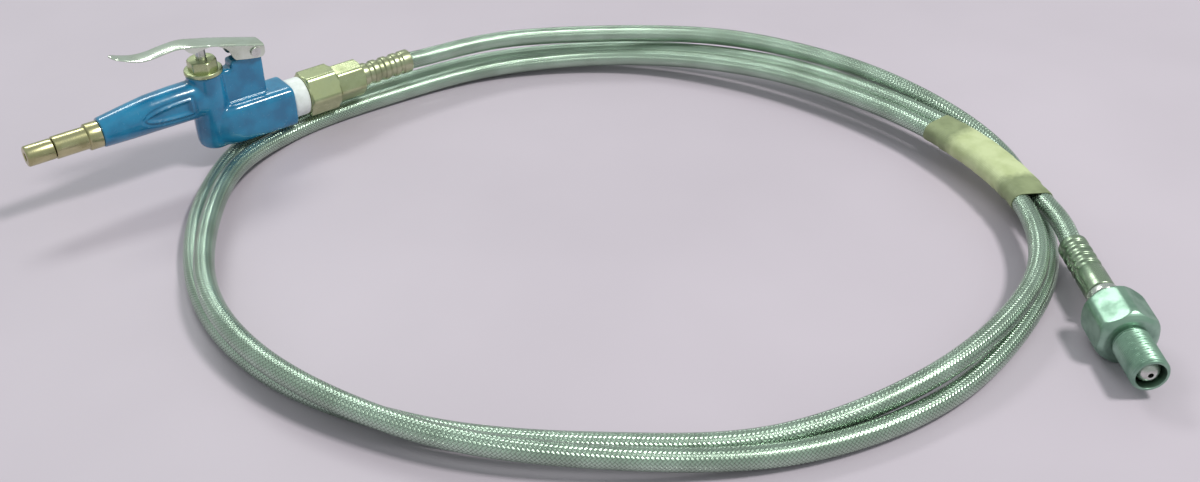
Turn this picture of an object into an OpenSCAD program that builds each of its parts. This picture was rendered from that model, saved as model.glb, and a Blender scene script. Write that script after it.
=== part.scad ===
// Air blow gun with a thumb lever on a braided hose, coiled in two loose turns,
// with a male union nut on the far end.
// X runs along the nozzle axis from the outlet to the inlet, +Z is the lever side.
// The origin is the centre of the nozzle outlet. All sizes are in millimetres.

/* [Nozzle] */
// Outer diameter of the nozzle tip
tip_d = 9.8; // [9:0.1:10.5]
// Length of the nozzle tip
tip_len = 12.5; // [10:0.5:13]
// Diameter of the air outlet
outlet_d = 4; // [2:0.5:5]
// Outer diameter of the nozzle tube
tube_d = 10.7; // [10:0.1:11.5]
// Outer diameter of the nozzle collar
collar_d = 12.7; // [12:0.1:13.5]

/* [Gun body] */
// Distance from the outlet to the front of the casting
body_front = 34.2; // [34.2:0.1:34.2]
// Distance from the outlet to the valve axis
valve_x = 88; // [88:1:88]
// Outer diameter of the valve chamber
chamber_d = 17.4; // [17:0.1:18]
// Depth of the inlet axis below the nozzle axis
inlet_drop = 14; // [14:0.5:14.5]
// Width and height of the inlet boss
boss_size = 21.2; // [20:0.1:22]
// Distance from the outlet to the inlet face
inlet_x = 128; // [128:1:128]

/* [Lever] */
// Width of the thumb blade
blade_w = 9; // [8:0.5:10]
// Sheet thickness of the lever
sheet_t = 1.1; // [1:0.1:1.2]
// Height of the lever pivot above the nozzle axis
pivot_z = 19.5; // [19:0.5:20]
// Distance from the outlet to the lever pivot
pivot_x = 113; // [113:1:113]

/* [Hose] */
// Outer diameter of the braided hose
hose_d = 9; // [9:0.1:9.2]
// Across flats of the nut at the gun
near_nut_af = 21; // [20:0.5:21]
// Across flats of the union nut on the far end
far_nut_af = 24; // [23:0.5:24]
// Outer diameter of the threaded nose of the union nut
nose_d = 15.5; // [15:0.1:16]

/* [Hidden] */
$fn = 64;

eps = 0.01;
floor_z = -35;
inlet_z = -inlet_drop;

// Nozzle
tube_front = 12.8;
collar_front = 28;
spigot_r = 3.1;
tube_bore_r = 2.3;
thread_r = 4.5;
thread_end = 46;
tip_wall = 4;
oring_x = 37;
oring_r = 0.9;

// Valve stack, all on the valve axis
chamber_r = chamber_d / 2;
chamber_bottom = inlet_z - boss_size / 2;
chamber_top = 14.5;
valve_bore_r = 6.5;
poppet_bore_r = 5;
poppet_bore_bottom = -22;
seat_z = -6;
seat_h = 3;
seat_hole_r = 2.9;
bonnet_bottom = 4.5;
flange_r = 9.1;
flange_top = 16.5;
bonnet_hex_af = 12.5;
bonnet_top = 21.5;
stem_r = 2.5;
stem_bore_r = 2.55;
rod_r = 1.5;
stem_shoulder = 2;
stem_top = 28.7;
poppet_r = 4.2;
poppet_t = 1.6;
seal_t = 0.9;
groove_z = 8;
groove_h = 2;
ring_z = 12;

// Inlet and post
boss_corner = 6;
inlet_bore_r = 6.58;
inlet_bore_depth = 18;
passage_r = 4;
nozzle_passage_r = 2.5;
post_w = 8;
post_front = 101;
post_rear = 116.5;
post_top = 17;
ear_r = 2.9;
pin_r = 1.5;
pin_hole_r = 1.55;

// Lever: height of the sheet's upper face along X, from the tip to the heel
lever_line = [
    [46, 35.8], [52, 33.4], [58, 31.7], [64, 31.5], [70, 32.2], [76, 32.6],
    [82, 32], [88, 30.6], [95, 28.9], [104, 26.5], [118, 22.5]
];
cheek_gap = 8.6;
lever_w = cheek_gap + 2 * sheet_t;
wide_from = 82;
cheek_front = 80.5;
tip_r = 3.5;

// Near hose fitting, along X on the inlet axis
packing_end = 136.5;
near_nut_end = 153.5;
near_hex_af = 17;
near_hex_end = 169;
near_ferrule_start = 170;
near_mouth = 199;
adapter_start = 114;
adapter_r = 6.5;
adapter_bore_r = 3.5;
socket_start = 142;
tail_r = 4.8;
barb_r = 3.1;
liner_r = 4.1;
tail_bore_r = 2.2;
mouth_depth = 4;
ferrule_r = 6.1;

// Far fitting, along its own X from the mouth of the ferrule
far_at = [339, -318, -23];
far_turn = -126;
far_dir = [cos(far_turn), sin(far_turn), 0];
far_ferrule_len = 35;
far_stop = [36, 39.5];
far_hex = [44, 66];
far_end = 87;
far_neck_r = 4.2;
far_bore_r = 4.3;
far_cavity = 70;
far_cavity_r = 6;
far_head = 70.1;
far_head_r = 5.2;
far_ball_r = 5.2;
far_ball_x = 81.6;

// Route of the hose's centre line, from the near ferrule to the far one.
// First turn, which leaves the gun on top of the other strands
turn_one = [
    [195, 0, -14], [262, -13, -15], [340, -70, -15], [374, -130, -15],
    [388, -190, -18.5], [388, -244, -28], [350, -297, -30.5], [302, -328, -30.5],
    [228, -343, -30.5], [159, -328.5, -30], [98, -288, -26], [53.5, -236.5, -24],
    [28, -170, -21.2], [34, -105, -21.8], [76, -36, -24.5]
];
// Second turn, on the floor except where it is taped to the end of the hose
turn_two = [
    [124, -4, -30.5], [186, -1, -30.5], [250, -13, -29], [310, -53, -26],
    [348, -112, -22], [365, -178, -20.5], [363.5, -240, -20.5], [342.5, -291.5, -20.5],
    [300, -325, -21.4], [230, -336.5, -23], [162.5, -319, -30.5], [107, -281, -30.5],
    [59.5, -231.5, -30.5], [30, -169, -30.5], [31, -103, -30.5], [63, -37, -30.5]
];
// End of the hose, beside the second turn and over the first one
turn_three = [
    [116, 7, -30.5], [184, 9, -30.5], [253, -3, -29], [317, -46, -26],
    [358, -108, -22], [375, -178, -20], [373.5, -241, -20], [352.5, -297, -20.5]
];
route = concat(turn_one, turn_two, turn_three, [far_at + mouth_depth * far_dir]);
steps_each = 2;
hose_sides = 10;
tape_from = 20.6;
tape_to = 21.85;
tape_lag = 16;
tape_t = 0.5;

// ---------- curves ----------

function unit(v) = v / norm(v);

// Point of the smooth curve through list p at parameter t, which counts its points
function before(p, i) = i < 0 ? 2 * p[0] - p[1] : p[i];
function after(p, i) = i >= len(p) ? 2 * p[len(p) - 1] - p[len(p) - 2] : p[i];
function curve(p, t) =
    let (
        i = min(floor(t), len(p) - 2),
        s = t - i,
        a = before(p, i - 1),
        b = p[i],
        c = p[i + 1],
        d = after(p, i + 2)
    )
    0.5 * (2 * b + (c - a) * s + (2 * a - 5 * b + 4 * c - d) * s * s
        + (3 * b - a - 3 * c + d) * s * s * s);
function heading(p, t) =
    let (h = 0.02, a = max(0, t - h), b = min(len(p) - 1, t + h))
    unit(curve(p, b) - curve(p, a));

// Closed tube made of rings of points, each ring with the same number of points
module skin(rings) {
    n = len(rings[0]);
    last = len(rings) - 1;
    sides = [
        for (i = [0:last - 1], j = [0:n - 1])
            [i * n + j, i * n + (j + 1) % n, (i + 1) * n + (j + 1) % n, (i + 1) * n + j]
    ];
    caps = [
        [for (j = [n - 1:-1:0]) j],
        [for (j = [0:n - 1]) last * n + j]
    ];
    polyhedron([for (r = rings, q = r) q], concat(sides, caps), convexity = 10);
}

function ring_at(centre, along, r, n) =
    let (side = unit(cross([0, 0, 1], along)), up = cross(along, side))
    [for (j = [0:n - 1]) let (a = 360 * (j + 0.5) / n) centre + r * (cos(a) * side + sin(a) * up)];

// ---------- helpers ----------

module along_x(x, z = 0) {
    translate([x, 0, z])
        rotate([0, 90, 0])
            children();
}

// Solid of revolution about X: outline points are [x, radius]
module turned(points, z = 0) {
    translate([0, 0, z])
        rotate([0, 90, 0])
            rotate_extrude()
                polygon([for (p = points) [p[1], p[0]]]);
}

module bore_x(x0, x1, r, z = 0) {
    along_x(x0, z)
        cylinder(h = x1 - x0, r = r);
}

// Hexagonal bar along X with chamfered corners, a corner pointing up when turn is 0
module hex_x(x0, x1, af, z = 0, turn = 0, chamfer = 1.2) {
    corner = af / sqrt(3);
    intersection() {
        along_x(x0, z)
            rotate([0, 0, turn])
                cylinder(h = x1 - x0, r = corner, $fn = 6);
        turned([
            [x0, 0], [x0, corner - chamfer], [x0 + chamfer / 2, corner - 0.3],
            [x1 - chamfer / 2, corner - 0.3], [x1, corner - chamfer], [x1, 0]
        ], z);
    }
}

module torus_z(r, minor, z) {
    translate([0, 0, z])
        rotate_extrude()
            translate([r, 0])
                circle(r = minor);
}

module on_valve_axis() {
    translate([valve_x, 0, 0])
        children();
}

module at_far_end() {
    translate(far_at)
        rotate([0, 0, far_turn])
            children();
}

// Crimped ferrule: ribs between pressed rings, outline from x0 to x1
module crimped(x0, x1, r, ribs, bore, z = 0) {
    pitch = (x1 - x0 - 6) / ribs;
    outline = concat(
        [[x0, bore], [x0, r - 0.5], [x0 + 0.5, r], [x0 + 2, r]],
        [for (i = [0:ribs - 1], p = [[0.8, -0.7], [pitch - 1.2, -0.7], [pitch - 0.4, 0], [pitch, 0]])
            [x0 + 2 + i * pitch + p[0], r + p[1]]],
        [[x1 - 1, r], [x1, r - 0.8], [x1, bore]]
    );
    turned(outline, z);
}

// ---------- gun body ----------

// Snout: two overlapping cones make it taller than it is wide at the outlet end
module taper() {
    turned([[body_front, 0], [body_front, 7.1], [50, 7.4], [valve_x, 7.4], [valve_x, 0]], 0.3);
    turned([[body_front, 0], [body_front, 5], [60, 9.1], [valve_x, 9.1], [valve_x, 0]], 2.4);
}

module boss() {
    half = boss_size / 2;
    inner = half - boss_corner;
    length = inlet_x - valve_x;
    translate([valve_x, -half, inlet_z - inner])
        cube([length, boss_size, 2 * inner]);
    translate([valve_x, -inner, inlet_z - half])
        cube([length, 2 * inner, boss_size]);
    for (y = [-inner, inner], z = [-inner, inner])
        translate([valve_x, y, inlet_z + z])
            rotate([0, 90, 0])
                cylinder(h = length, r = boss_corner);
}

module chamber() {
    foot = 3;
    on_valve_axis()
        rotate_extrude()
            polygon(concat(
                [[0, chamber_top], [0, chamber_bottom]],
                [for (a = [-90:15:0]) [chamber_r - foot + foot * cos(a), chamber_bottom + foot + foot * sin(a)]],
                [[chamber_r, chamber_top]]
            ));
}

module post() {
    half = post_w / 2;
    translate([valve_x, -half, inlet_z])
        cube([post_rear - valve_x, post_w, 13 - inlet_z]);
    translate([post_front, -half, 0])
        cube([post_rear - post_front, post_w, post_top]);
    translate([pivot_x - ear_r, -half, post_top - eps])
        cube([2 * ear_r, post_w, pivot_z - post_top + eps]);
    translate([pivot_x, half, pivot_z])
        rotate([90, 0, 0])
            cylinder(h = post_w, r = ear_r);
}

module side_recess() {
    for (side = [-1, 1])
        translate([0, side * 8.6, 2.4])
            rotate([90, 0, 0])
                linear_extrude(height = 2.4, center = true)
                    polygon([for (a = [0:20:340]) [67 + (9 + 2 * cos(a)) * cos(a), 4.6 * sin(a) * (1 + 0.3 * cos(a))]]);
}

module gun_body() {
    color("royalblue")
        difference() {
            union() {
                taper();
                boss();
                chamber();
                post();
            }
            side_recess();
            bore_x(body_front - 1, thread_end, thread_r);
            bore_x(thread_end - 1, valve_x, nozzle_passage_r);
            bore_x(inlet_x - inlet_bore_depth, inlet_x + 1, inlet_bore_r, inlet_z);
            bore_x(valve_x, inlet_x - inlet_bore_depth + 1, passage_r, inlet_z);
            on_valve_axis() {
                translate([0, 0, seat_z])
                    cylinder(h = chamber_top - seat_z + 1, r = valve_bore_r);
                translate([0, 0, poppet_bore_bottom])
                    cylinder(h = seat_z - poppet_bore_bottom + 1, r = poppet_bore_r);
            }
            translate([pivot_x, post_w, pivot_z])
                rotate([90, 0, 0])
                    cylinder(h = 2 * post_w, r = pin_r);
        }
}

// ---------- nozzle ----------

module nozzle_tip() {
    r = tip_d / 2;
    o = outlet_d / 2;
    color("goldenrod")
        turned([
            [0, o], [0, r - 1.2], [1.2, r], [tip_len - 0.5, r], [tip_len, r - 0.5],
            [tip_len, spigot_r], [tip_wall, spigot_r], [tip_wall, o]
        ]);
}

module nozzle_tube() {
    r = tube_d / 2;
    c = collar_d / 2;
    color("goldenrod")
        difference() {
            turned([
                [tip_wall, tube_bore_r], [tip_wall, spigot_r], [tube_front, spigot_r],
                [tube_front, r - 0.4], [tube_front + 0.4, r], [collar_front, r],
                [collar_front, c - 0.5], [collar_front + 0.5, c], [body_front - 0.5, c],
                [body_front, c - 0.5], [body_front, thread_r], [thread_end, thread_r],
                [thread_end, tube_bore_r]
            ]);
            turned([
                [oring_x - oring_r, thread_r - 1.6], [oring_x - oring_r, thread_r + 1],
                [oring_x + oring_r, thread_r + 1], [oring_x + oring_r, thread_r - 1.6]
            ]);
        }
}

module nozzle_oring() {
    color("black")
        along_x(oring_x)
            torus_z(thread_r - 0.8, 0.78, 0);
}

// ---------- valve ----------

module valve_bonnet() {
    color("goldenrod")
        on_valve_axis()
            difference() {
                union() {
                    translate([0, 0, bonnet_bottom])
                        cylinder(h = chamber_top - bonnet_bottom, r = valve_bore_r);
                    translate([0, 0, chamber_top])
                        cylinder(h = flange_top - chamber_top, r = flange_r);
                    translate([0, 0, flange_top])
                        cylinder(h = bonnet_top - flange_top, r = bonnet_hex_af / sqrt(3), $fn = 6);
                }
                translate([0, 0, bonnet_bottom - 1])
                    cylinder(h = bonnet_top - bonnet_bottom + 2, r = stem_bore_r);
                translate([0, 0, groove_z])
                    cylinder(h = groove_h, r = 4);
                translate([0, 0, ring_z - 1])
                    difference() {
                        cylinder(h = 2, r = valve_bore_r + 1);
                        cylinder(h = 2, r = valve_bore_r - 1.6);
                    }
            }
}

module bonnet_oring() {
    color("black")
        on_valve_axis()
            torus_z(valve_bore_r - 0.8, 0.78, ring_z);
}

module stem_oring() {
    color("black")
        on_valve_axis()
            torus_z(3.26, 0.7, groove_z + groove_h / 2);
}

module valve_cage() {
    cage_r = valve_bore_r;
    color("goldenrod")
        on_valve_axis()
            difference() {
                translate([0, 0, seat_z + seat_h])
                    cylinder(h = bonnet_bottom - seat_z - seat_h, r = cage_r);
                translate([0, 0, seat_z])
                    cylinder(h = 20, r = 4.6);
                for (a = [0, 90])
                    rotate([0, 0, a])
                        rotate([0, 90, 0])
                            cylinder(h = 4 * cage_r, r = 2.2, center = true);
            }
}

module valve_seat() {
    color("goldenrod")
        on_valve_axis()
            difference() {
                translate([0, 0, seat_z])
                    cylinder(h = seat_h, r = valve_bore_r);
                translate([0, 0, seat_z - 1])
                    cylinder(h = seat_h + 2, r = seat_hole_r);
            }
}

module valve_stem() {
    low = seat_z - seal_t - poppet_t - 0.6;
    dome = 1.5;
    color("silver")
        on_valve_axis()
            rotate_extrude()
                polygon(concat(
                    [[0, low], [rod_r, low], [rod_r, stem_shoulder - 1], [stem_r, stem_shoulder]],
                    [for (a = [0:15:90])
                        [stem_r - dome + dome * cos(a), stem_top - dome + dome * sin(a)]],
                    [[0, stem_top]]
                ));
}

module washer_on_rod(z, h, r) {
    on_valve_axis()
        difference() {
            translate([0, 0, z])
                cylinder(h = h, r = r);
            translate([0, 0, z - 1])
                cylinder(h = h + 2, r = rod_r);
        }
}

module poppet() {
    color("goldenrod")
        washer_on_rod(seat_z - seal_t - poppet_t, poppet_t, poppet_r);
}

module poppet_seal() {
    color("black")
        washer_on_rod(seat_z - seal_t, seal_t, poppet_r - 0.2);
}

module valve_spring() {
    wire_r = 0.4;
    coil_r = 3.4;
    turns = 5;
    per_turn = 14;
    low = poppet_bore_bottom + wire_r;
    high = seat_z - seal_t - poppet_t - wire_r;
    count = turns * per_turn;
    color("silver")
        on_valve_axis()
            skin([
                for (i = [0:count])
                    let (
                        a = 360 * i / per_turn,
                        at = [coil_r * cos(a), coil_r * sin(a), low + (high - low) * i / count],
                        along = unit([-sin(a), cos(a), (high - low) / (2 * PI * coil_r * turns)])
                    )
                    ring_at(at, along, wire_r, 6)
            ]);
}

// ---------- lever ----------

function lever_top(k, n) = curve(lever_line, (len(lever_line) - 1) * k / n);

module lever_sheet() {
    n = 30;
    upper = [for (k = [0:n]) lever_top(k, n)];
    lower = [for (k = [n:-1:0]) lever_top(k, n) - [0, sheet_t]];
    rotate([90, 0, 0])
        linear_extrude(height = lever_w, center = true)
            polygon(concat(upper, lower));
}

// Outline of the lever seen from above: round tip, narrow blade, wide heel
module lever_plan() {
    tip_x = lever_line[0][0];
    translate([0, 0, 10])
        linear_extrude(height = 40) {
            translate([tip_x + tip_r, 0])
                circle(r = tip_r);
            polygon([
                [tip_x + tip_r, -tip_r], [60, -blade_w / 2], [74, -blade_w / 2],
                [wide_from, -lever_w / 2], [130, -lever_w / 2], [130, lever_w / 2],
                [wide_from, lever_w / 2], [74, blade_w / 2], [60, blade_w / 2], [tip_x + tip_r, tip_r]
            ]);
        }
}

// Side walls: a shallow lip in front, an arch over the bonnet, full height round the pivot
module cheeks() {
    for (side = [-1, 1])
        translate([0, side * (cheek_gap + sheet_t) / 2, 0])
            rotate([90, 0, 0])
                linear_extrude(height = sheet_t, center = true)
                    polygon([
                        [cheek_front, 31.4], [81, 28.6], [83.3, 27.5], [86, 28.2], [91.5, 29],
                        [95, 28], [98.5, 26], [100.8, 23], [101.6, 19.5], [103, 18.2],
                        [115, 16], [117, 16.5], [118, 18], [118, 22], [104, 26], [95, 28.4],
                        [88, 30], [82, 31.4]
                    ]);
}

module lever() {
    color("gainsboro")
        difference() {
            union() {
                intersection() {
                    lever_sheet();
                    lever_plan();
                }
                cheeks();
            }
            translate([pivot_x, lever_w, pivot_z])
                rotate([90, 0, 0])
                    cylinder(h = 2 * lever_w, r = pin_hole_r);
        }
}

module lever_pin() {
    half = lever_w / 2;
    color("silver")
        translate([pivot_x, 0, pivot_z])
            rotate([90, 0, 0]) {
                translate([0, 0, -half - 1.2])
                    cylinder(h = lever_w + 1.4, r = pin_r);
                translate([0, 0, half + 0.2])
                    cylinder(h = 0.9, r = 2.4);
            }
}

module pin_clip() {
    half = lever_w / 2;
    color("dimgray")
        translate([pivot_x, half + 0.2, pivot_z])
            rotate([-90, 0, 0])
                difference() {
                    cylinder(h = 0.6, r = 2.6);
                    translate([0, 0, -1])
                        cylinder(h = 3, r = pin_r);
                }
}

// ---------- near hose fitting ----------

module packing_ring() {
    color("white")
        turned([
            [inlet_x, 6.8], [inlet_x, 9.3], [inlet_x + 0.6, 9.8], [packing_end - 0.6, 9.8],
            [packing_end, 9.3], [packing_end, 6.8]
        ], inlet_z);
}

module inlet_adapter() {
    color("darkgoldenrod")
        difference() {
            union() {
                bore_x(adapter_start, packing_end + 1, adapter_r, inlet_z);
                hex_x(packing_end, near_nut_end, near_nut_af, inlet_z);
            }
            bore_x(adapter_start - 1, near_nut_end, adapter_bore_r, inlet_z);
            bore_x(socket_start, near_nut_end + 1, tail_r, inlet_z);
        }
}

module hose_tail_near() {
    mouth = near_mouth - mouth_depth;
    color("darkgoldenrod")
        difference() {
            union() {
                turned([
                    [socket_start, 0], [socket_start, tail_r - 0.6], [socket_start + 0.6, tail_r],
                    [near_nut_end + 1, tail_r], [near_nut_end + 1, 0]
                ], inlet_z);
                hex_x(near_nut_end, near_hex_end, near_hex_af, inlet_z, 8);
                turned([
                    [near_hex_end - 1, 0], [near_hex_end - 1, 6.8], [near_ferrule_start, 6.8],
                    [near_ferrule_start, barb_r], [mouth - 1, barb_r], [mouth, barb_r - 0.6], [mouth, 0]
                ], inlet_z);
            }
            bore_x(socket_start - 1, near_mouth, tail_bore_r, inlet_z);
        }
}

module liner_end_near() {
    color("ivory")
        difference() {
            bore_x(near_ferrule_start, near_mouth - mouth_depth, liner_r, inlet_z);
            bore_x(near_ferrule_start - 1, near_mouth, barb_r, inlet_z);
        }
}

module ferrule_near() {
    color("darkkhaki")
        difference() {
            crimped(near_ferrule_start, near_mouth, ferrule_r, 3, liner_r, inlet_z);
            bore_x(near_mouth - mouth_depth, near_mouth + 1, hose_d / 2 + 0.1, inlet_z);
        }
}

// ---------- hose ----------

module hose_braid() {
    count = (len(route) - 1) * steps_each;
    color("lightgray")
        skin([
            for (i = [0:count])
                let (
                    t = i / steps_each,
                    along = i == 0 ? [1, 0, 0] : i == count ? far_dir : heading(route, t)
                )
                ring_at(curve(route, t), along, hose_d / 2, hose_sides)
        ]);
}

// Outline round two strands whose centres are a and b, r away from both
function pair_outline(a, b, along, r) =
    let (across = unit(b - a), up = unit(cross(along, across)))
    concat(
        [for (q = [-90:30:90]) b + r * (cos(q) * across + sin(q) * up)],
        [for (q = [90:30:270]) a + r * (cos(q) * across + sin(q) * up)]
    );

// Sleeve of tape round the second turn and the end of the hose beside it
module masking_tape() {
    stations = 6;
    inner_r = hose_d / 2;
    rings = [
        for (i = [0:stations])
            let (
                t = tape_from + (tape_to - tape_from) * i / stations,
                a = curve(route, t),
                b = curve(route, t + tape_lag)
            )
            [a, b, heading(route, t)]
    ];
    n = 14;
    outer = [for (q = rings) pair_outline(q[0], q[1], q[2], inner_r + tape_t)];
    inner = [for (q = rings) pair_outline(q[0], q[1], q[2], inner_r)];
    points = concat([for (r = outer, q = r) q], [for (r = inner, q = r) q]);
    base = (stations + 1) * n;
    walls = [
        for (i = [0:stations - 1], j = [0:n - 1])
            let (k = (j + 1) % n)
            [i * n + j, i * n + k, (i + 1) * n + k, (i + 1) * n + j]
    ];
    linings = [
        for (i = [0:stations - 1], j = [0:n - 1])
            let (k = (j + 1) % n)
            [base + i * n + k, base + i * n + j, base + (i + 1) * n + j, base + (i + 1) * n + k]
    ];
    rims = [
        for (j = [0:n - 1])
            let (k = (j + 1) % n, e = stations * n)
            each [[base + j, base + k, k, j], [e + j, e + k, base + e + k, base + e + j]]
    ];
    color("khaki")
        polyhedron(points, concat(walls, linings, rims), convexity = 10);
}

// ---------- far hose fitting ----------

module ferrule_far() {
    color("darkkhaki")
        at_far_end()
            difference() {
                crimped(0, far_ferrule_len, 6.4, 5, liner_r);
                bore_x(-1, mouth_depth, hose_d / 2 + 0.1);
            }
}

module liner_end_far() {
    color("ivory")
        at_far_end()
            difference() {
                bore_x(mouth_depth, far_ferrule_len, liner_r);
                bore_x(mouth_depth - 1, far_ferrule_len + 1, barb_r);
            }
}

module hose_tail_far() {
    ball = [for (a = [140:-10:20]) [far_ball_x + far_ball_r * cos(a), far_ball_r * sin(a)]];
    color("silver")
        at_far_end()
            turned(concat(
                [
                    [mouth_depth, tail_bore_r], [mouth_depth, barb_r - 0.6], [mouth_depth + 1, barb_r],
                    [far_ferrule_len, barb_r], [far_ferrule_len, far_neck_r],
                    [far_head, far_neck_r], [far_head, far_head_r], [far_head + 4, far_head_r],
                    [far_head + 5.2, 3.6]
                ],
                ball,
                [[far_ball_x + far_ball_r * cos(20), tail_bore_r - 0.7], [far_ball_x, tail_bore_r - 0.7],
                    [far_ball_x - 2, tail_bore_r]]
            ));
}

module stop_ring() {
    r = 7;
    color("silver")
        at_far_end()
            turned([
                [far_stop[0], far_neck_r], [far_stop[0], r - 0.4], [far_stop[0] + 0.4, r],
                [far_stop[1] - 0.4, r], [far_stop[1], r - 0.4], [far_stop[1], far_neck_r]
            ]);
}

module union_nut() {
    r = nose_d / 2;
    color("darkseagreen")
        at_far_end()
            difference() {
                union() {
                    hex_x(far_hex[0], far_hex[1], far_nut_af, 0, 30, 1.6);
                    turned([
                        [far_hex[1] - 1, 0], [far_hex[1] - 1, r - 0.9], [far_hex[1] + 1.5, r - 0.9],
                        [far_hex[1] + 1.5, r], [far_end - 1, r], [far_end, r - 1], [far_end, 0]
                    ]);
                }
                bore_x(far_hex[0] - 1, far_cavity + 1, far_bore_r);
                bore_x(far_cavity, far_end + 1, far_cavity_r);
            }
}

gun_body();
nozzle_tip();
nozzle_tube();
nozzle_oring();
valve_bonnet();
bonnet_oring();
stem_oring();
valve_cage();
valve_seat();
valve_stem();
poppet();
poppet_seal();
valve_spring();
lever();
lever_pin();
pin_clip();
packing_ring();
inlet_adapter();
hose_tail_near();
liner_end_near();
ferrule_near();
hose_braid();
masking_tape();
ferrule_far();
liner_end_far();
hose_tail_far();
stop_ring();
union_nut();
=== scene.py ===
import math

import bmesh
import bpy
import numpy as np
from mathutils import Matrix, Vector, noise


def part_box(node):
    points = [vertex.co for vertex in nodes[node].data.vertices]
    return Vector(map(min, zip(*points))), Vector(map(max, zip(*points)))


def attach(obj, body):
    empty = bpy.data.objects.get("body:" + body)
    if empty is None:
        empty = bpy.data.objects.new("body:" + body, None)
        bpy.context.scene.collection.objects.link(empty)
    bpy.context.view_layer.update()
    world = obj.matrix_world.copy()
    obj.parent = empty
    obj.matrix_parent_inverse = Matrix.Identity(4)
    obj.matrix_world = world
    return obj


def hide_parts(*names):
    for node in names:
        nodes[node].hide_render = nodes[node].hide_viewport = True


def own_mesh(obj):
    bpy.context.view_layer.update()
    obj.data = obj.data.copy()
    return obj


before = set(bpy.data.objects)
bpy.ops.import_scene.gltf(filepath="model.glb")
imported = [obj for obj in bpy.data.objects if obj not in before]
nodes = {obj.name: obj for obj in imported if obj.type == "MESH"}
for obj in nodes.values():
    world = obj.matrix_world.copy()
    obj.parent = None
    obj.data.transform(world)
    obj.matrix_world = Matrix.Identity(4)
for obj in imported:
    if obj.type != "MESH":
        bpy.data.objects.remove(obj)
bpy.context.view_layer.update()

MM = 0.001
FLOOR_Z = -35 * MM

# ---------------------------------------------------------------- camera

CAMERA_AT = Vector((-0.1115, -0.5529, 0.2991))
# Degrees below level and about Z
CAMERA_DOWN = 34.5
CAMERA_TURN = -38.6
CAMERA_LENS = 39.0
CAMERA_FRAME = 36.0


def make_camera():
    data = bpy.data.cameras.new("camera")
    data.sensor_width = CAMERA_FRAME
    data.lens = CAMERA_LENS
    data.clip_start = 0.01
    camera = bpy.data.objects.new("camera", data)
    camera.location = CAMERA_AT
    camera.rotation_euler = (math.radians(90 - CAMERA_DOWN), 0, math.radians(CAMERA_TURN))
    bpy.context.collection.objects.link(camera)
    bpy.context.scene.camera = camera


make_camera()

# ---------------------------------------------------------------- places, in mm as in the CAD

INLET_Z = -14.0
VALVE_X = 88.0
PIVOT = (113.0, 19.5)
BONNET_AF = 12.5
ADAPTER_AF = 21
NEAR_TAIL_AF = 17
NUT_AF = 24
HOSE_D = 9.0
BORE_R = 2.2
FERRULE_BORE_R = 4.1
FERRULE_MOUTH_R = 4.6
FAR_AT = Vector((339, -318, -23))
FAR_TURN = math.radians(-126)
FAR_DIR = Vector((math.cos(FAR_TURN), math.sin(FAR_TURN), 0))
# How deep the hose's end sits in the far ferrule
MOUTH_DEPTH = 4.0

# The hose's route, from the near ferrule's mouth
TURN_ONE = [
    (195, 0, -14), (262, -13, -15), (340, -70, -15), (374, -130, -15),
    (388, -190, -18.5), (388, -244, -28), (350, -297, -30.5), (302, -328, -30.5),
    (228, -343, -30.5), (159, -328.5, -30), (98, -288, -26), (53.5, -236.5, -24),
    (28, -170, -21.2), (34, -105, -21.8), (76, -36, -24.5),
]
TURN_TWO = [
    (124, -4, -30.5), (186, -1, -30.5), (250, -13, -29), (310, -53, -26),
    (348, -112, -22), (365, -178, -20.5), (363.5, -240, -20.5), (342.5, -291.5, -20.5),
    (300, -325, -21.4), (230, -336.5, -23), (162.5, -319, -30.5), (107, -281, -30.5),
    (59.5, -231.5, -30.5), (30, -169, -30.5), (31, -103, -30.5), (63, -37, -30.5),
]
TURN_THREE = [
    (116, 7, -30.5), (184, 9, -30.5), (253, -3, -29), (317, -46, -26),
    (358, -108, -22), (375, -178, -20), (373.5, -241, -20), (352.5, -297, -20.5),
]
ROUTE = [Vector(p) for p in TURN_ONE + TURN_TWO + TURN_THREE] + [FAR_AT + MOUTH_DEPTH * FAR_DIR]
# Route points from one taped strand to the other
TAPE_LAG = 16


def smooth_line(line, t):
    """The smooth curve through a line's points, where t counts the points from its start."""
    last = len(line) - 1
    i = min(int(t), last - 1)
    s = t - i
    b, c = line[i], line[i + 1]
    a = 2 * b - c if i == 0 else line[i - 1]
    d = 2 * c - b if i + 1 == last else line[i + 2]
    linear = (c - a) * s
    square = (2 * a - 5 * b + 4 * c - d) * s * s
    cube = (3 * b - a - 3 * c + d) * s**3
    return 0.5 * (2 * b + linear + square + cube)


def route_at(t):
    """The hose's centre line, smooth through the route's points, as in the CAD."""
    return smooth_line(ROUTE, t)


def route_heading(t):
    low, high = max(0, t - 0.02), min(len(ROUTE) - 1, t + 0.02)
    return (route_at(high) - route_at(low)).normalized()


# ---------------------------------------------------------------- mesh helpers


def outward_mesh(name, points, faces):
    """Mesh data from points in mm, with its faces turned outwards."""
    data = bpy.data.meshes.new(name)
    data.from_pydata([tuple(c * MM for c in p) for p in points], [], faces)
    data.validate()
    work = bmesh.new()
    work.from_mesh(data)
    bmesh.ops.recalc_face_normals(work, faces=work.faces)
    work.to_mesh(data)
    work.free()
    return data


def mesh_object(name, points, faces, body, material, smooth_angle=40):
    """A piece given in mm, riding on a CAD body."""
    data = outward_mesh(name, points, faces)
    data.polygons.foreach_set("use_smooth", [True] * len(data.polygons))
    data.set_sharp_from_angle(angle=math.radians(smooth_angle))
    obj = bpy.data.objects.new(name, data)
    bpy.context.collection.objects.link(obj)
    data.materials.append(material)
    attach(obj, body)
    return obj


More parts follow.
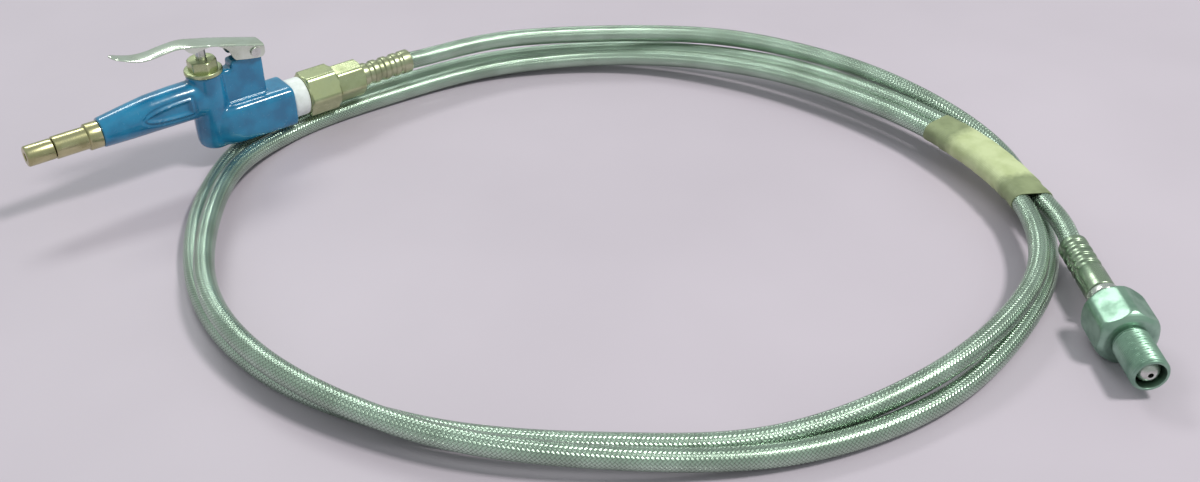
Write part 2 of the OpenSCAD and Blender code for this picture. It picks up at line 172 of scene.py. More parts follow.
def grid_faces(rows, columns, wrap_rows=False, wrap_columns=True):
    """Four-sided faces between neighbours in rows of points."""
    faces = []
    for i in range(rows if wrap_rows else rows - 1):
        here = i * columns
        ahead = (i + 1) % rows * columns
        for j in range(columns if wrap_columns else columns - 1):
            beside = (j + 1) % columns
            faces.append((here + j, here + beside, ahead + beside, ahead + j))
    return faces


def sheet_faces(rows, columns, wrap_columns):
    """Faces of a thin sheet: an outer skin, an inner one after it, and the edges that join them."""
    inner = rows * columns
    skin = grid_faces(rows, columns, wrap_columns=wrap_columns)
    faces = skin + [tuple(inner + v for v in reversed(face)) for face in skin]
    for i in (0, (rows - 1) * columns):
        for j in range(columns if wrap_columns else columns - 1):
            beside = (j + 1) % columns
            faces.append((i + j, i + beside, inner + i + beside, inner + i + j))
    if wrap_columns:
        return faces
    for i in range(rows - 1):
        for a in (i * columns, (i + 1) * columns - 1):
            b = a + columns
            faces.append((a, b, inner + b, inner + a))
    return faces


def rounded(outline, radius=0.3, steps=3):
    """A closed outline with each corner rounded. A corner may give its own radius as a third value."""
    result = []
    count = len(outline)
    for i, corner in enumerate(outline):
        here = Vector(corner[:2])
        r = corner[2] if len(corner) > 2 else radius
        back = Vector(outline[i - 1][:2]) - here
        ahead = Vector(outline[(i + 1) % count][:2]) - here
        reach = min(r, 0.45 * back.length, 0.45 * ahead.length)
        if reach < 0.02:
            result.append(tuple(here))
            continue
        p, q = here + reach * back.normalized(), here + reach * ahead.normalized()
        for k in range(steps + 1):
            s = k / steps
            result.append(tuple((1 - s) ** 2 * p + 2 * s * (1 - s) * here + s * s * q))
    return result


def dense(outline, step):
    """The outline with extra points, none further apart than step along the axis."""
    result = []
    for i, p in enumerate(outline):
        q = outline[(i + 1) % len(outline)]
        parts = max(1, math.ceil(abs(q[0] - p[0]) / step))
        for k in range(parts):
            result.append((p[0] + (q[0] - p[0]) * k / parts, p[1] + (q[1] - p[1]) * k / parts))
    return result


AXIS_X = Matrix.Identity(4)
INLET_AXIS = Matrix.Translation((0, 0, INLET_Z))
VALVE_AXIS = Matrix.Translation((VALVE_X, 0, 0)) @ Matrix.Rotation(math.radians(-90), 4, "Y")
FAR_AXIS = Matrix.Translation(FAR_AT) @ Matrix.Rotation(FAR_TURN, 4, "Z")
# Turns circle's ring into the XZ plane, with its first point along X
SECTION_XZ = Matrix.Rotation(math.radians(-90), 4, "Z")
PIN_AXIS = Matrix.Translation((PIVOT[0], 0, PIVOT[1])) @ Matrix.Rotation(math.radians(-90), 4, "Z")


def turned(name, outline, place, body, material, shape=None, sides=96, smooth_angle=40):
    """A solid of revolution about place's X. The outline is a closed loop of (x, radius);
    shape(x, angle, radius) may change the radius, as on a hexagon or a thread."""
    points = []
    for x, r in outline:
        for j in range(sides):
            a = 2 * math.pi * j / sides
            rr = shape(x, a, r) if shape else r
            points.append(place @ Vector((x, rr * math.cos(a), rr * math.sin(a))))
    faces = grid_faces(len(outline), sides, wrap_rows=True)
    return mesh_object(name, points, faces, body, material, smooth_angle)


def hexagon(flats, start, end, turn=0.0, corner_cut=0.35):
    """Limits the radius to a hexagon of that size between start and end."""
    corner = flats / math.sqrt(3) - corner_cut

    def shape(x, a, r):
        if not start <= x <= end:
            return r
        lean = (a - turn) % (math.pi / 3) - math.pi / 6
        return min(r, corner, flats / 2 / math.cos(lean))

    return shape


# ---------------------------------------------------------------- material helpers


class Shader:
    """A node material built up in a few lines."""

    def __init__(self, name, color, metallic=0.0, roughness=0.4, **sockets):
        self.material = bpy.data.materials.new(name)
        self.material.use_nodes = True
        self.tree = self.material.node_tree
        self.main = self.tree.nodes["Principled BSDF"]
        self.main.inputs["Base Color"].default_value = (*color, 1)
        self.main.inputs["Metallic"].default_value = metallic
        self.main.inputs["Roughness"].default_value = roughness
        for key, value in sockets.items():
            self.main.inputs[key.replace("_", " ")].default_value = value
        self.coords = self.tree.nodes.new("ShaderNodeTexCoord")

    def link(self, a, b):
        self.tree.links.new(a, b)

    def put(self, socket, value):
        if isinstance(value, (int, float)):
            socket.default_value = value
        elif isinstance(value, tuple):
            socket.default_value = (*value, 1) if len(value) == 3 else value
        else:
            self.link(value, socket)

    def math(self, operation, a, b=0.0, c=0.0):
        node = self.tree.nodes.new("ShaderNodeMath")
        node.operation = operation
        for socket, value in zip(node.inputs, (a, b, c)):
            self.put(socket, value)
        return node.outputs[0]

    def noise(self, size_mm, detail=3.0, stretch=(1, 1, 1), distortion=0.0):
        """Noise whose blobs are about size_mm across, stretched along an axis by dividing its scale."""
        mapping = self.tree.nodes.new("ShaderNodeMapping")
        mapping.inputs["Scale"].default_value = stretch
        self.link(self.coords.outputs["Object"], mapping.inputs["Vector"])
        node = self.tree.nodes.new("ShaderNodeTexNoise")
        node.inputs["Scale"].default_value = 1 / (size_mm * MM)
        node.inputs["Detail"].default_value = detail
        node.inputs["Distortion"].default_value = distortion
        self.link(mapping.outputs[0], node.inputs["Vector"])
        return node.outputs["Fac"]

    def spread(self, value, low, high, to_low=0.0, to_high=1.0):
        node = self.tree.nodes.new("ShaderNodeMapRange")
        for socket, v in zip(node.inputs, (value, low, high, to_low, to_high)):
            self.put(socket, v)
        return node.outputs[0]

    def mix(self, factor, a, b):
        node = self.tree.nodes.new("ShaderNodeMix")
        node.data_type = "RGBA"
        self.put(node.inputs["Factor"], factor)
        self.put(node.inputs[6], a)
        self.put(node.inputs[7], b)
        return node.outputs[2]

    def color(self, value):
        self.link(value, self.main.inputs["Base Color"])

    def rough(self, value):
        self.link(value, self.main.inputs["Roughness"])

    def bump(self, height, distance_mm, strength=1.0):
        node = self.tree.nodes.new("ShaderNodeBump")
        node.inputs["Strength"].default_value = strength
        node.inputs["Distance"].default_value = distance_mm * MM
        self.link(height, node.inputs["Height"])
        previous = self.main.inputs["Normal"].links
        if previous:
            self.link(previous[0].from_socket, node.inputs["Normal"])
        self.link(node.outputs[0], self.main.inputs["Normal"])


def metal(name, color, dark, roughness, grime_mm=6.0, grain=(1, 1, 1), bump_mm=0.02):
    """Machined or plated metal: clouded tone, fine tool marks and a little grime."""
    s = Shader(name, color, 1.0, roughness)
    cloud = s.spread(s.noise(grime_mm, 5.0), 0.42, 0.68)
    fine = s.noise(0.35, 2.0, grain)
    s.color(s.mix(cloud, color, dark))
    marks = s.math("MULTIPLY", fine, 0.16)
    s.rough(s.math("ADD", s.math("MULTIPLY_ADD", cloud, 0.12, roughness - 0.08), marks))
    s.bump(fine, bump_mm, 0.6)
    return s.material


def plastic(name, color, dark, roughness, blob_mm=3.0, bump_mm=0.03, **sockets):
    s = Shader(name, color, 0.0, roughness, **sockets)
    cloud = s.spread(s.noise(blob_mm, 4.0), 0.4, 0.7)
    s.color(s.mix(cloud, color, dark))
    s.rough(s.math("MULTIPLY_ADD", cloud, 0.15, roughness))
    s.bump(s.noise(0.5, 2.0), bump_mm, 0.5)
    return s.material


def braid_material():
    """Flat bundles of fine wire plaited two over, two under round the hose, with painted shade in the
    creases between bundles.
    """
    s = Shader("steel_braid", (0.5, 0.53, 0.5), 1.0, 0.34)
    bundles = 16
    repeat_mm = 1.75
    uv = s.tree.nodes.new("ShaderNodeSeparateXYZ")
    s.link(s.coords.outputs["UV"], uv.inputs[0])
    along = s.math("DIVIDE", uv.outputs[0], repeat_mm)
    around = s.math("MULTIPLY", uv.outputs[1], bundles)
    left = s.math("ADD", around, along)
    right = s.math("SUBTRACT", around, along)
    index = s.math("ADD", s.math("FLOOR", left), s.math("FLOOR", right))
    over = s.math("LESS_THAN", s.math("FLOORED_MODULO", index, 2), 1)

    def bundle(value):
        across = s.math("MULTIPLY_ADD", s.math("FRACT", value), 2.0, -1.0)
        crown = s.math("SUBTRACT", 1.0, s.math("POWER", s.math("ABSOLUTE", across), 3.0))
        wires = s.math("ABSOLUTE", s.math("SINE", s.math("MULTIPLY", s.math("FRACT", value), 4 * math.pi)))
        return s.math("MULTIPLY_ADD", wires, 0.25, crown)

    top = s.math("MULTIPLY", over, bundle(left))
    bottom = s.math("MULTIPLY", s.math("SUBTRACT", 1.0, over), bundle(right))
    height = s.math("ADD", top, bottom)
    # Weave height as a mask: it darkens the colour as painted shade between bundles and also sets the
    # roughness.
    weave_shade_mask = s.spread(height, 0.1, 1.1)
    cloud = s.spread(s.noise(18.0, 3.0), 0.4, 0.65)
    bright = s.mix(cloud, (0.56, 0.70, 0.58), (0.43, 0.54, 0.44))
    # Painted shade: the braid goes near black where bundles meet and takes its own colour on the crowns.
    s.color(s.mix(weave_shade_mask, (0.1, 0.11, 0.09), bright))
    s.rough(s.spread(weave_shade_mask, 0.0, 1.0, 0.42, 0.24))
    s.bump(height, 0.16, 0.9)
    return s.material


def enamel_material():
    """Glossy blue enamel over a die casting: slight orange peel, scuffs and pooled darker areas."""
    s = Shader("enamel_blue", (0.01, 0.16, 0.36), 0.0, 0.24, Coat_Weight=0.8, Coat_Roughness=0.08)
    cloud = s.spread(s.noise(9.0, 4.0), 0.4, 0.65)
    scuff = s.spread(s.noise(2.2, 6.0, (1, 1, 1), 1.5), 0.66, 0.72)
    base = s.mix(cloud, (0.004, 0.21, 0.41), (0.003, 0.14, 0.30))
    s.color(s.mix(s.math("MULTIPLY", scuff, 0.5), base, (0.06, 0.24, 0.42)))
    s.rough(s.math("MULTIPLY_ADD", scuff, 0.25, 0.22))
    s.bump(s.noise(1.6, 2.0), 0.05, 0.5)
    return s.material


def tape_material():
    """Creped paper tape: fine cross ribs, yellowed and blotchy, darker olive towards both ends of its
    length.
    """
    s = Shader("tape_cream", (0.7, 0.66, 0.36), 0.0, 0.55)
    stain = s.spread(s.noise(8.0, 4.0), 0.38, 0.66)
    uv = s.tree.nodes.new("ShaderNodeSeparateXYZ")
    s.link(s.coords.outputs["UV"], uv.inputs[0])
    crepe = s.math("SINE", s.math("MULTIPLY", uv.outputs[0], 2 * math.pi / 0.9))
    wobble = s.noise(2.5, 3.0)
    middle_cream = s.mix(stain, (0.58, 0.63, 0.36), (0.47, 0.52, 0.27))
    end_olive = s.mix(stain, (0.28, 0.32, 0.17), (0.2, 0.23, 0.12))
    edge = s.math("ABSOLUTE", s.math("MULTIPLY_ADD", uv.outputs[1], 2.0, -1.0))
    # The colour turns darker olive towards both ends of the tape's length.
    s.color(s.mix(s.spread(s.math("MULTIPLY_ADD", wobble, 0.12, edge), 0.56, 0.7), middle_cream, end_olive))
    s.bump(s.math("ADD", s.math("MULTIPLY", crepe, 0.35), s.math("MULTIPLY", wobble, 2.0)), 0.12, 0.6)
    return s.material


def floor_material():
    s = Shader("floor", (0.62, 0.53, 0.62), 0.0, 0.5)
    cloud = s.spread(s.noise(160.0, 3.0), 0.35, 0.7)
    s.color(s.mix(cloud, (0.53, 0.455, 0.53), (0.57, 0.49, 0.57)))
    s.bump(s.noise(1.2, 3.0), 0.05, 0.3)
    return s.material


BRASS = metal("brass_polished", (0.58, 0.54, 0.32), (0.42, 0.39, 0.21), 0.2, 9.0, (6, 1, 1), 0.01)
BRASS_DULL = metal("brass_dull", (0.54, 0.58, 0.35), (0.4, 0.43, 0.24), 0.28, 8.0, bump_mm=0.01)
CHROME = metal("chrome", (0.76, 0.82, 0.72), (0.58, 0.62, 0.52), 0.16, 12.0, bump_mm=0.008)
STEEL = metal("steel_bright", (0.66, 0.67, 0.64), (0.45, 0.46, 0.42), 0.25, 5.0)
ZINC = metal("zinc_grey", (0.34, 0.5, 0.4), (0.2, 0.32, 0.25), 0.36, 9.0, bump_mm=0.02)
FERRULE = metal("ferrule_gold", (0.48, 0.5, 0.33), (0.32, 0.34, 0.21), 0.28, 8.0, bump_mm=0.01)
FERRULE_DARK = metal("ferrule_olive", (0.38, 0.46, 0.34), (0.2, 0.27, 0.19), 0.28, 6.0, bump_mm=0.012)
NYLON = plastic("nylon_white", (0.86, 0.88, 0.88), (0.76, 0.78, 0.76), 0.38)
LINER = plastic("liner_white", (0.8, 0.78, 0.7), (0.68, 0.66, 0.58), 0.5)
RUBBER = plastic("rubber_black", (0.025, 0.025, 0.025), (0.05, 0.05, 0.05), 0.6)
BRAID = braid_material()
ENAMEL = enamel_material()
TAPE = tape_material()

# CAD nodes that show as they are
KEPT = {
    "nozzle_oring": RUBBER, "bonnet_oring": RUBBER, "stem_oring": RUBBER, "poppet_seal": RUBBER,
    "valve_cage": BRASS_DULL, "valve_seat": BRASS_DULL, "poppet": BRASS_DULL,
    "pin_clip": STEEL, "lever_pin": STEEL, "valve_stem": STEEL,
    "liner_end_near": LINER, "liner_end_far": LINER,
}
for node, finish in KEPT.items():
    nodes[node].data.materials.clear()
    nodes[node].data.materials.append(finish)

# ---------------------------------------------------------------- hose


def make_hose():
    """The whole hose as one fine tube. Its UV runs in mm along the hose and once around it."""
    sides = 32
    ring_mm = 4.0
    samples = 4000
    last = len(ROUTE) - 1
    fine = [route_at(last * k / samples) for k in range(samples + 1)]
    run = [0.0]
    for p, q in zip(fine, fine[1:]):
        run.append(run[-1] + (q - p).length)
    rings = round(run[-1] / ring_mm)
    places = np.interp(np.linspace(0, run[-1], rings + 1), run, np.linspace(0, last, samples + 1))
    path = [route_at(t) for t in places]
    points = []
    for i, (t, centre) in enumerate(zip(places, path)):
        along = Vector((1, 0, 0)) if i == 0 else FAR_DIR if i == rings else route_heading(t)
        side = Vector((0, 0, 1)).cross(along).normalized()
        up = along.cross(side)
        for j in range(sides):
            a = 2 * math.pi * j / sides
            points.append(centre + HOSE_D / 2 * (math.cos(a) * side + math.sin(a) * up))
    faces = grid_faces(rings + 1, sides)
    hose = mesh_object("hose", points, faces, "gun", BRAID)
    uv = hose.data.uv_layers.new(name="UVMap")
    step = run[-1] / rings
    for face in hose.data.polygons:
        ids = [hose.data.loops[k].vertex_index for k in face.loop_indices]
        seam = max(v % sides for v in ids) == sides - 1 and min(v % sides for v in ids) == 0
        for k, v in zip(face.loop_indices, ids):
            turn = v % sides
            if seam and turn == 0:
                turn = sides
            uv.data[k].uv = (v // sides * step, turn / sides)
    return hose, path, run[-1]


hose, hose_path, hose_length = make_hose()
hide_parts("hose_braid")

# ---------------------------------------------------------------- gun body


def closed_loft(sections):
    """Points and faces of a closed solid through rings of equal length."""
    count = len(sections[0])
    points = [p for ring in sections for p in ring]
    faces = grid_faces(len(sections), count)
    faces.append(tuple(range(count - 1, -1, -1)))
    faces.append(tuple((len(sections) - 1) * count + j for j in range(count)))
    return points, faces


def superellipse(x, half_y, half_z, centre_z, power=2.0, count=48):
    ring = []
    for j in range(count):
        a = 2 * math.pi * j / count
        c, s = math.cos(a), math.sin(a)
        ring.append(Vector((
            x,
            half_y * math.copysign(abs(c) ** (2 / power), c),
            centre_z + half_z * math.copysign(abs(s) ** (2 / power), s),
        )))
    return ring


def circle(x, r, place, count=64):
    """A ring of points about place's X."""
    angles = [2 * math.pi * j / count for j in range(count)]
    return [place @ Vector((x, r * math.cos(a), r * math.sin(a))) for a in angles]


def apply_modifiers(obj):
    """Bakes the modifiers into the mesh, as applying them would."""
    graph = bpy.context.evaluated_depsgraph_get()
    data = bpy.data.meshes.new_from_object(obj.evaluated_get(graph))
    obj.modifiers.clear()
    obj.data = data


def drill(obj, start, end, r, place, count):
    """Cuts a round hole along place's X."""
    points, faces = closed_loft([circle(x, r, place, count) for x in (start, end)])
    tool = bpy.data.objects.new("cutter", outward_mesh("cutter", points, faces))
    bpy.context.collection.objects.link(tool)
    modifier = obj.modifiers.new("cut", "BOOLEAN")
    modifier.operation = "DIFFERENCE"
    modifier.solver = "EXACT"
    modifier.object = tool
    apply_modifiers(obj)
    bpy.data.objects.remove(tool)


def make_body():
    """The casting: snout, valve chamber, inlet boss and lever post melted into one skin."""
    # Each is x, half width, half height, middle height and squareness
    snout = [
        (34.2, 7.1, 7.1, 0.3, 2.0), (40, 7.5, 7.7, 0.7, 2.0), (48, 7.8, 8.4, 1.3, 2.1),
        (58, 8.0, 9.1, 2.1, 2.2), (70, 8.0, 9.4, 2.4, 2.3), (80, 8.2, 9.5, 2.4, 2.3),
        (90, 8.4, 9.5, 2.4, 2.2),
    ]
    # Each is height and radius
    chamber = [(-24.4, 5.4), (-24.0, 6.8), (-22.5, 8.0), (-20, 8.5), (-14, 8.7), (14.4, 8.7)]
    # Each is x, half width, half height and squareness
    boss = [
        (86, 8.2, 9.6, 4.0), (92, 9.8, 10.3, 4.5), (97, 10.5, 10.6, 5.0),
        (127.2, 10.6, 10.6, 5.5), (128, 10.2, 10.2, 5.5),
    ]
    post_side = rounded([
        (100.4, -10), (100.4, 17.0, 2.0), (109.5, 17.4, 1.5), (111, 21.6, 2.5), (115, 21.6, 2.5),
        (116.5, 16.5, 1.5), (116.5, -10),
    ], 1.0, 4)
    web_half = 4
    solids = [
        closed_loft([superellipse(*section) for section in snout]),
        closed_loft([circle(z, r, VALVE_AXIS) for z, r in chamber]),
        closed_loft([superellipse(x, y, z, INLET_Z, power, 64) for x, y, z, power in boss]),
        closed_loft([superellipse(x, web_half, 13.2, 0.3, 8) for x in (VALVE_X, 100)]),
        closed_loft([[Vector((x, y, z)) for x, z in post_side] for y in (-web_half, web_half)]),
    ]
    all_points, all_faces = [], []
    for points, faces in solids:
        base = len(all_points)
        all_points += points
        all_faces += [tuple(base + v for v in f) for f in faces]
    body = mesh_object("body_skin", all_points, all_faces, "gun", ENAMEL)
    voxel = 0.45
    remesh = body.modifiers.new("melt", "REMESH")
    remesh.mode = "VOXEL"
    remesh.voxel_size = voxel * MM
    apply_modifiers(body)
    soften = body.modifiers.new("soften", "SMOOTH")
    soften.factor = 0.5
    soften.iterations = 12
    apply_modifiers(body)
    dish_sides(body)
    bores = [
        (33, 46, 4.55, AXIS_X, 64),  # nozzle socket
        (45, VALVE_X, 2.5, AXIS_X, 24),  # air way to the nozzle
        (110, 129, 6.58, INLET_AXIS, 64),  # inlet socket
        (VALVE_X, 111, 4, INLET_AXIS, 32),  # air way from the inlet
        (-6, 20, 6.52, VALVE_AXIS, 64),  # valve chamber
        (-22, -5, 5, VALVE_AXIS, 32),  # poppet's bore
        (-10, 10, 1.5, PIN_AXIS, 24),  # lever pin
    ]
    for bore in bores:
        drill(body, *bore)
    body.data.materials.clear()
    body.data.materials.append(ENAMEL)
    body.data.polygons.foreach_set("use_smooth", [True] * len(body.data.polygons))
    body.data.set_sharp_from_angle(angle=math.radians(35))
    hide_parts("gun_body")


def smoothstep(low, high, x):
    s = min(1.0, max(0.0, (x - low) / (high - low)))
    return s * s * (3 - 2 * s)


def dish_sides(body):
    """The drop-shaped recess on each side of the snout, with a raised rim round it."""
    front, back, middle = 54, 77, 2.6
    dish_depth, rim_height, rim_out, rim_width = 1.5, 0.75, 0.9, 0.8
    for v in body.data.vertices:
        x, y, z = v.co / MM
        if not front - 4 < x < back + 5 or abs(y) < 3:
            continue
        lean = max(0.0, (x - front) / 24)
        half = 4.7 * math.sqrt(lean) * (1.25 - 0.45 * lean)
        height = z - middle
        if half > 0.3:
            inside = min(half - abs(height), x - front, back - x)
            edge = math.hypot(max(0.0, abs(height) - half), max(0.0, x - back))
        else:
            inside = 0.0
            edge = math.hypot(height, front - x)
        signed = inside if inside > 0 else -edge
        depth = dish_depth * smoothstep(-0.2, 2.2, signed)
        rim = rim_height * math.exp(-((signed + rim_out) / rim_width) ** 2)
        v.co.y -= math.copysign((depth - rim) * MM, y)


make_body()

# ---------------------------------------------------------------- nozzle

tip_outline = rounded([
    (0, 2.0), (0, 4.9, 1.0), (12.5, 4.9, 0.6), (12.5, 3.1), (4, 3.1), (4, 2.0),
], 0.25)
nozzle_tip = turned("nozzle_tip_skin", tip_outline, AXIS_X, "gun", BRASS)
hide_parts("nozzle_tip")

tube_outline = rounded([
    (4, 2.3), (4, 3.05), (12.8, 3.05), (12.8, 5.35, 0.5), (27.6, 5.35), (28, 6.35, 0.7),
    (34.2, 6.35, 0.5), (34.2, 4.5), (36.1, 4.5), (36.1, 2.9), (37.9, 2.9), (37.9, 4.5),
    (46, 4.5, 0.4), (46, 2.3),
], 0.2)
nozzle_tube = turned("nozzle_tube_skin", tube_outline, AXIS_X, "gun", BRASS)
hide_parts("nozzle_tube")

# ---------------------------------------------------------------- valve bonnet

bonnet_outline = rounded([
    (4.5, 2.55), (4.5, 6.5, 0.4), (11, 6.5), (11, 4.9), (13, 4.9), (13, 6.5), (14.5, 6.5),
    (14.5, 9.1, 0.4), (16.5, 9.1, 0.6), (16.6, 7.21), (20.9, 7.21), (21.5, 6.4, 0.3), (21.5, 2.55),
    (10, 2.55), (10, 4), (8, 4), (8, 2.55),
], 0.15)
bonnet_hexagon = hexagon(BONNET_AF, 16.55, 21.6, 0.0, 0.25)
bonnet = turned(
    "bonnet_skin", bonnet_outline, VALVE_AXIS, "gun", BRASS_DULL, bonnet_hexagon
)
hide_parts("valve_bonnet")

# ---------------------------------------------------------------- valve spring


def make_spring():
    """A wire helix as tall as the CAD spring. The real spring shortens towards the chamber's floor as the
    valve opens.
    """
    wire_r, coil_r = 0.4, 3.4
    turns, per_turn = 5, 40
    low, high = (corner[2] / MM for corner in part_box("valve_spring"))
    count = turns * per_turn
    rings = []
    for i in range(count + 1):
        a = 2 * math.pi * i / per_turn
        rise = (high - low - 2 * wire_r) * i / count
        centre = (VALVE_X + coil_r * math.cos(a), coil_r * math.sin(a), low + wire_r + rise)
        across = Matrix.Translation(centre) @ Matrix.Rotation(a, 4, "Z") @ SECTION_XZ
        rings.append(circle(0, wire_r, across, 12))
    points, faces = closed_loft(rings)
    spring = mesh_object("valve_spring_coil", points, faces, "gun", STEEL)
    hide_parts("valve_spring")
    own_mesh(spring)


make_spring()

# ---------------------------------------------------------------- lever

LEVER_LINE = [Vector(p) for p in (
    (46, 35.8), (52, 33.4), (58, 31.7), (64, 31.5), (70, 32.2), (76, 32.6),
    (82, 32), (88, 30.6), (95, 28.9), (104, 26.5), (118, 22.5),
)]
LEVER_FRONT = LEVER_LINE[0].x

# Depth of the lever's side walls below its top: a lip in front, an arch over the bonnet, deep at the pivot
WALL_X = [46, 60, 79, 81, 83.5, 87, 91.5, 95, 98.5, 100.8, 101.6, 103, 109, 115, 117, 118]
WALL_DEPTH = [0.6, 1.2, 1.3, 3.4, 4.3, 2.6, 1.15, 1.2, 2.1, 4.3, 7.4, 8.4, 8.0, 7.2, 6.2, 4.4]


def make_lever():
    """Pressed sheet: a narrow curved blade that widens into a channel over the post."""
    stations, thickness = 120, 1.1
    corner_r, crown, nose_length = 1.3, 0.25, 3.5
    last = len(LEVER_LINE) - 1
    outside, inside = [], []
    for k in range(stations + 1):
        x, z = smooth_line(LEVER_LINE, last * k / stations)
        nose = min(1.0, (x - LEVER_FRONT) / nose_length)
        narrow = max(0.12, math.sqrt(max(0.0, 1 - (1 - nose) ** 2)))
        half = (3.5 + 1.0 * smoothstep(49, 60, x) + 0.9 * smoothstep(74, 82, x)) * narrow
        low = float(np.interp(x, WALL_X, WALL_DEPTH))
        for skin, shrink in ((outside, 0.0), (inside, thickness)):
            w = max(0.1, half - shrink)
            corner = min(corner_r, w * 0.8, max(0.2, low * 0.9))
            section = [(-w, -low), (-w, -0.5 * low - 0.5 * corner)]
            for a in (0, 22.5, 45, 67.5, 90):
                c, s = math.cos(math.radians(a)), math.sin(math.radians(a))
                section.append((-w + corner - corner * c, -shrink - corner + corner * s))
            section += [(-0.5 * (w - corner), crown * 0.7 - shrink), (0, crown - shrink)]
            section += [(-y, h) for y, h in reversed(section[:-1])]
            if shrink:
                section = [(y, max(h, -low)) for y, h in section]
            skin += [Vector((x, y, z + h - crown)) for y, h in section]
    rows = stations + 1
    faces = sheet_faces(rows, len(outside) // rows, wrap_columns=False)
    lever = mesh_object("lever_skin", outside + inside, faces, "lever", CHROME, 50)
    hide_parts("lever")


make_lever()

# ---------------------------------------------------------------- near fitting

packing_outline = rounded([
    (128, 6.8), (128, 9.2, 0.5), (128.8, 9.75, 0.6), (135.8, 9.75, 0.6), (136.5, 9.2, 0.5), (136.5, 6.8),
], 0.3)
packing = turned("packing_skin", packing_outline, INLET_AXIS, "gun", NYLON)
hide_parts("packing_ring")

adapter_outline = rounded([
    (114, 3.5), (114, 6.5, 0.5), (136.4, 6.5), (136.5, 10.3, 0.2), (137.4, 11.75, 0.2),
    (152.6, 11.75, 0.2), (153.5, 10.3, 0.2), (153.5, 4.85), (142, 4.85), (142, 3.5),
], 0.2)
adapter_hexagon = hexagon(ADAPTER_AF, 136.45, 153.6)
adapter = turned(
    "adapter_skin", adapter_outline, INLET_AXIS, "gun", BRASS_DULL, adapter_hexagon
)
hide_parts("inlet_adapter")

tail_outline = rounded([
    (142.1, BORE_R), (142.1, 4.8, 0.4), (153.5, 4.8), (153.55, 8.3, 0.2), (154.3, 9.5, 0.2),
    (168.3, 9.5, 0.2), (169, 8.4, 0.2), (169.05, 6.8), (170, 6.8), (170, 3.1), (194, 3.1),
    (195, 2.6), (195, BORE_R),
], 0.15)
tail_hexagon = hexagon(NEAR_TAIL_AF, 153.52, 169.02, math.radians(8), 0.3)
tail_near = turned(
    "tail_near_skin", tail_outline, INLET_AXIS, "gun", BRASS_DULL, tail_hexagon
)
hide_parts("hose_tail_near")


def crimped(x0, x1, r, edge, bands):
    """The outside of a crimped ferrule. bands are (start, end, depth) of its pressed rings."""
    outer = [(x0, r - edge, 0.4), (x0 + 0.4, r, 0.4)]
    for start, end, depth in bands:
        low = r - depth
        outer += [(start, r, 0.5), (start + 0.5, low, 0.5), (end - 0.5, low, 0.5), (end, r, 0.5)]
    return outer + [(x1 - 0.4, r, 0.4), (x1, r - 0.4, 0.4)]


near_bands = [(173.2, 176.6, 0.7), (179.4, 182.8, 0.7), (185.6, 189, 0.7), (191.5, 194, 0.5)]
near_outline = [(170, FERRULE_BORE_R)] + crimped(170, 199, 6.1, 0.25, near_bands) + [
    (199, FERRULE_MOUTH_R), (195, FERRULE_MOUTH_R), (195, FERRULE_BORE_R),
]
ferrule_near = turned(
    "ferrule_near_skin", rounded(near_outline, 0.25), INLET_AXIS, "gun", FERRULE
)
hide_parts("ferrule_near")

# ---------------------------------------------------------------- far fitting

far_bands = [(start, start + 3.2, 0.8) for start in (3.0, 8.0, 13.0, 18.0)]
far_outline = [(0, FERRULE_MOUTH_R)] + crimped(0, 35, 6.4, 0.4, far_bands) + [
    (35, FERRULE_BORE_R), (MOUTH_DEPTH, FERRULE_BORE_R), (MOUTH_DEPTH, FERRULE_MOUTH_R),
]
ferrule_far = turned(
    "ferrule_far_skin", rounded(far_outline, 0.25), FAR_AXIS, "gun", FERRULE_DARK
)
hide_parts("ferrule_far")

ring_outline = rounded([(36, 4.2), (36, 7.0, 0.6), (39.5, 7.0, 0.6), (39.5, 4.2)], 0.2)
stop_ring = turned("stop_ring_skin", ring_outline, FAR_AXIS, "gun", STEEL)
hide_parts("stop_ring")


def far_tail_outline():
    """Barb, neck, stop and ball nipple."""
    ball_x, ball_r = 81.6, 5.2
    outline = [
        (4, BORE_R), (4, 2.6), (5, 3.1), (35, 3.1), (35, 4.2), (70.1, 4.2), (70.1, 5.2, 0.4),
        (74.1, 5.2, 0.6), (75.3, 3.6, 0.6),
    ]
    for degrees in range(135, 15, -10):
        a = math.radians(degrees)
        outline.append((ball_x + ball_r * math.cos(a), ball_r * math.sin(a)))
    return outline + [(86.6, 1.1), (82, 1.1), (80, BORE_R)]


tail_far = turned("tail_far_skin", rounded(far_tail_outline(), 0.2), FAR_AXIS, "gun", STEEL)
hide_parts("hose_tail_far")


def make_union():
    """The union nut: heavily chamfered hexagon and a fine-threaded nose."""
    nut_hexagon = hexagon(NUT_AF, 44, 66, math.radians(30))
    pitch, depth = 1.0, 0.35
    thread_start, thread_end, thread_root = 67.45, 86.4, 7.0
    step = 0.16
    outline = rounded([
        (44, 4.3), (44, 10.6, 0.8), (46.4, 13.2, 1.6), (63.6, 13.2, 1.6), (66, 10.4, 0.8),
        (66.05, 6.9, 0.4), (67.4, 6.9, 0.3), (67.5, 7.75, 0.1), (86, 7.75, 0.3), (87, 6.9, 0.4),
        (87, 6.0, 0.3), (70, 6.0), (70, 4.3),
    ], 0.2)

    def shape(x, a, r):
        if x < 66.02:
            return nut_hexagon(x, a, r)
        if thread_start < x < thread_end and r > thread_root:
            turn = (x / pitch - a / (2 * math.pi)) % 1.0
            groove = 0.5 + 0.5 * math.cos(2 * math.pi * turn)
            return r - depth * groove * smoothstep(thread_start, 68.5, x)
        return r

    nut = turned("union_nut_skin", dense(outline, step), FAR_AXIS, "union", ZINC, shape)
    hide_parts("union_nut")
    return nut


union_nut = make_union()

# ---------------------------------------------------------------- tape


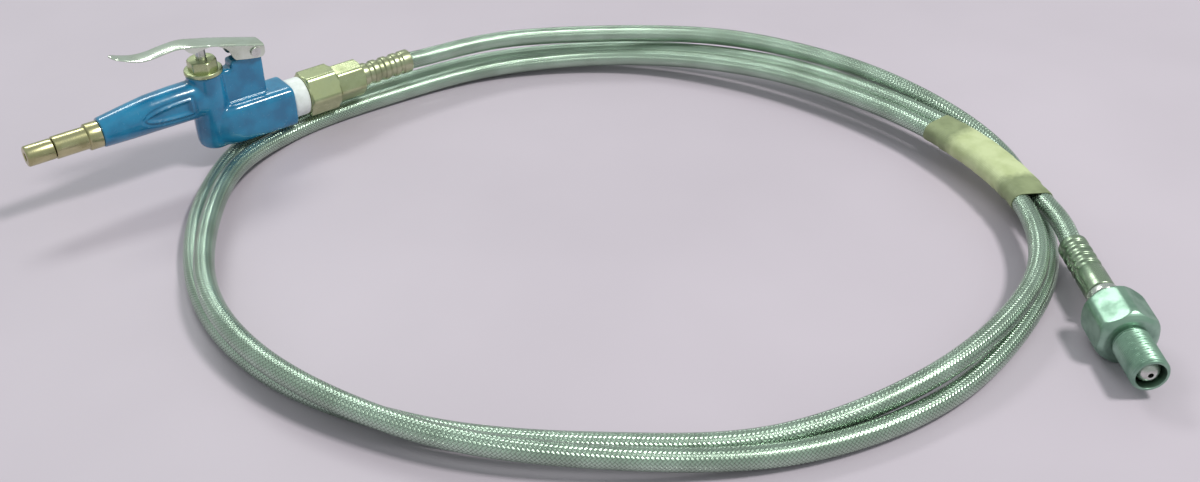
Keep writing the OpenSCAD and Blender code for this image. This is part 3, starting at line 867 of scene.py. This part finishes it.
def make_tape():
    """Paper tape wound round the two strands, creased and a little uneven."""
    start, end, stations = 20.6, 21.85, 100
    arc = 12
    thickness, play = 0.35, 0.05
    layer, overlap = 0.12, 0.3
    outer, inner = [], []
    for i in range(stations + 1):
        share = i / stations
        t = start + (end - start) * share
        a, b = route_at(t), route_at(t + TAPE_LAG)
        along = route_heading(t)
        across = (b - a).normalized()
        up = along.cross(across).normalized()
        doubled = smoothstep(0.12, 0.14, share) * (1 - smoothstep(0.84, 0.86, share))
        build = layer * (share * 7 % 1.0) + overlap * doubled
        for skin, radius in ((outer, HOSE_D / 2 + thickness + build), (inner, HOSE_D / 2 + play)):
            for centre, first in ((b, -90), (a, 90)):
                for k in range(arc + 1):
                    angle = math.radians(first + 180 * k / arc)
                    way = math.cos(angle) * across + math.sin(angle) * up
                    p = centre + radius * way
                    if skin is outer:
                        p += way * 0.18 * noise.noise(p / 3.0)
                    skin.append(p)
    columns = 2 * (arc + 1)
    faces = sheet_faces(stations + 1, columns, wrap_columns=True)
    tape = mesh_object("tape_wrap", outer + inner, faces, "gun", TAPE, 60)
    girth_mm = 40
    uv = tape.data.uv_layers.new(name="UVMap")
    for loop in tape.data.loops:
        v = loop.vertex_index % len(outer)
        uv.data[loop.index].uv = (v % columns / columns * girth_mm, v // columns / stations)
    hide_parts("masking_tape")
    return tape


tape = make_tape()

# ---------------------------------------------------------------- stage and light


def make_floor():
    """A wide plain sheet under the object."""
    size = 4.0
    data = bpy.data.meshes.new("floor")
    corners = [(-size, -size, 0), (size, -size, 0), (size, size, 0), (-size, size, 0)]
    data.from_pydata(corners, [], [(0, 1, 2, 3)])
    floor = bpy.data.objects.new("floor", data)
    floor.location = (0.2, -0.2, FLOOR_Z)
    data.materials.append(floor_material())
    bpy.context.collection.objects.link(floor)


def area_light(name, at, aim, size, power, color=(1, 1, 1)):
    data = bpy.data.lights.new(name, "AREA")
    data.shape = "RECTANGLE"
    data.size, data.size_y = size
    data.energy = power
    data.color = color
    lamp = bpy.data.objects.new(name, data)
    lamp.location = at
    lamp.rotation_euler = (Vector(aim) - Vector(at)).to_track_quat("-Z", "Y").to_euler()
    bpy.context.collection.objects.link(lamp)


def make_world():
    world = bpy.data.worlds.new("studio")
    world.use_nodes = True
    world.node_tree.nodes["Background"].inputs["Color"].default_value = (0.85, 0.96, 0.92, 1)
    world.node_tree.nodes["Background"].inputs["Strength"].default_value = 0.55
    bpy.context.scene.world = world


make_floor()
make_world()
CENTRE = (0.2, -0.17, 0)
area_light("key", (0.84, -1.0, 1.8), CENTRE, (0.45, 0.32), 26.0, (0.98, 1.0, 0.95))
area_light("back", (0.35, 1.1, 1.3), CENTRE, (0.9, 0.3), 8.0, (0.95, 1.0, 0.96))
bpy.context.scene.view_settings.view_transform = "Standard"
